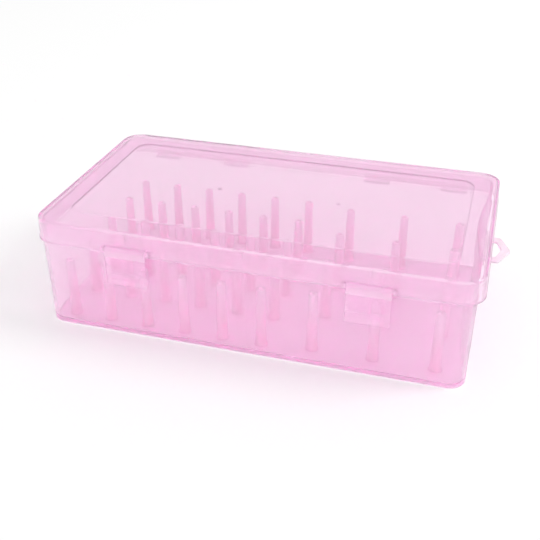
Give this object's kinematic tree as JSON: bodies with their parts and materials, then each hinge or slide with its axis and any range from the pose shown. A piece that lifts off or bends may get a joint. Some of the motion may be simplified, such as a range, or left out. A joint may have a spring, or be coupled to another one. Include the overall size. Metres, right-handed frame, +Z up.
{
  "type": "thread spool box",
  "caption": "Translucent pink lidded box with rows of upright spool pegs, two front latches and a folding hang loop at one end.",
  "frame": {"origin": "centre of the tub's underside, at the level it stands on, midway between the lid's two ends", "axes": "+X along the length towards the hang loop, -Y towards the latches, +Z up"},
  "size_m": [0.2563, 0.1416, 0.0679],
  "materials": {
    "tub": "translucent, faintly frosted",
    "lid": "translucent, clearer than the tub",
    "latch": "translucent",
    "loop": "translucent",
    "pin": "translucent",
    "peg": "translucent"
  },
  "bodies": {
    "tub": {"base_tub": "tub", "hinge_pin_left": "pin", "hinge_pin_right": "pin", "peg_small_row1_col1": "peg", "peg_small_row1_col2": "peg", "peg_small_row1_col3": "peg", "peg_small_row1_col4": "peg", "peg_small_row1_col5": "peg", "peg_small_row1_col6": "peg", "peg_small_row2_col1": "peg", "peg_small_row2_col2": "peg", "peg_small_row2_col3": "peg", "peg_small_row2_col4": "peg", "peg_small_row2_col5": "peg", "peg_small_row2_col6": "peg", "peg_small_row3_col1": "peg", "peg_small_row3_col2": "peg", "peg_small_row3_col3": "peg", "peg_small_row3_col4": "peg", "peg_small_row3_col5": "peg", "peg_small_row3_col6": "peg", "peg_small_row4_col1": "peg", "peg_small_row4_col2": "peg", "peg_small_row4_col3": "peg", "peg_small_row4_col4": "peg", "peg_small_row4_col5": "peg", "peg_small_row4_col6": "peg", "peg_small_row5_col1": "peg", "peg_small_row5_col2": "peg", "peg_small_row5_col3": "peg", "peg_small_row5_col4": "peg", "peg_small_row5_col5": "peg", "peg_small_row5_col6": "peg", "peg_wide_row1_col1": "peg", "peg_wide_row1_col2": "peg", "peg_wide_row1_col3": "peg", "peg_wide_row2_col1": "peg", "peg_wide_row2_col2": "peg", "peg_wide_row2_col3": "peg", "peg_wide_row3_col1": "peg", "peg_wide_row3_col2": "peg", "peg_wide_row3_col3": "peg", "peg_wide_row4_col1": "peg", "peg_wide_row4_col2": "peg", "peg_wide_row4_col3": "peg"},
    "lid": {"lid": "lid"},
    "left_latch": {"latch_left": "latch"},
    "right_latch": {"latch_right": "latch"},
    "loop": {"hang_loop": "loop"}
  },
  "joints": [
    {"name": "lid_hinge", "type": "hinge", "parent": "tub", "child": "lid", "pos_m": [0, 0.0695, 0.0546], "axis": [-1, 0, 0], "range_deg": [0, 180]},
    {"name": "left_latch_hinge", "type": "hinge", "parent": "lid", "child": "left_latch", "pos_m": [-0.0665, -0.0674, 0.0565], "axis": [-1, 0, 0], "range_deg": [0, 120]},
    {"name": "right_latch_hinge", "type": "hinge", "parent": "lid", "child": "right_latch", "pos_m": [0.0665, -0.0674, 0.0565], "axis": [-1, 0, 0], "range_deg": [0, 120]},
    {"name": "loop_hinge", "type": "hinge", "parent": "tub", "child": "loop", "pos_m": [0.1185, 0, 0.0514], "axis": [0, 1, 0], "range_deg": [0, 90]}
  ]
}
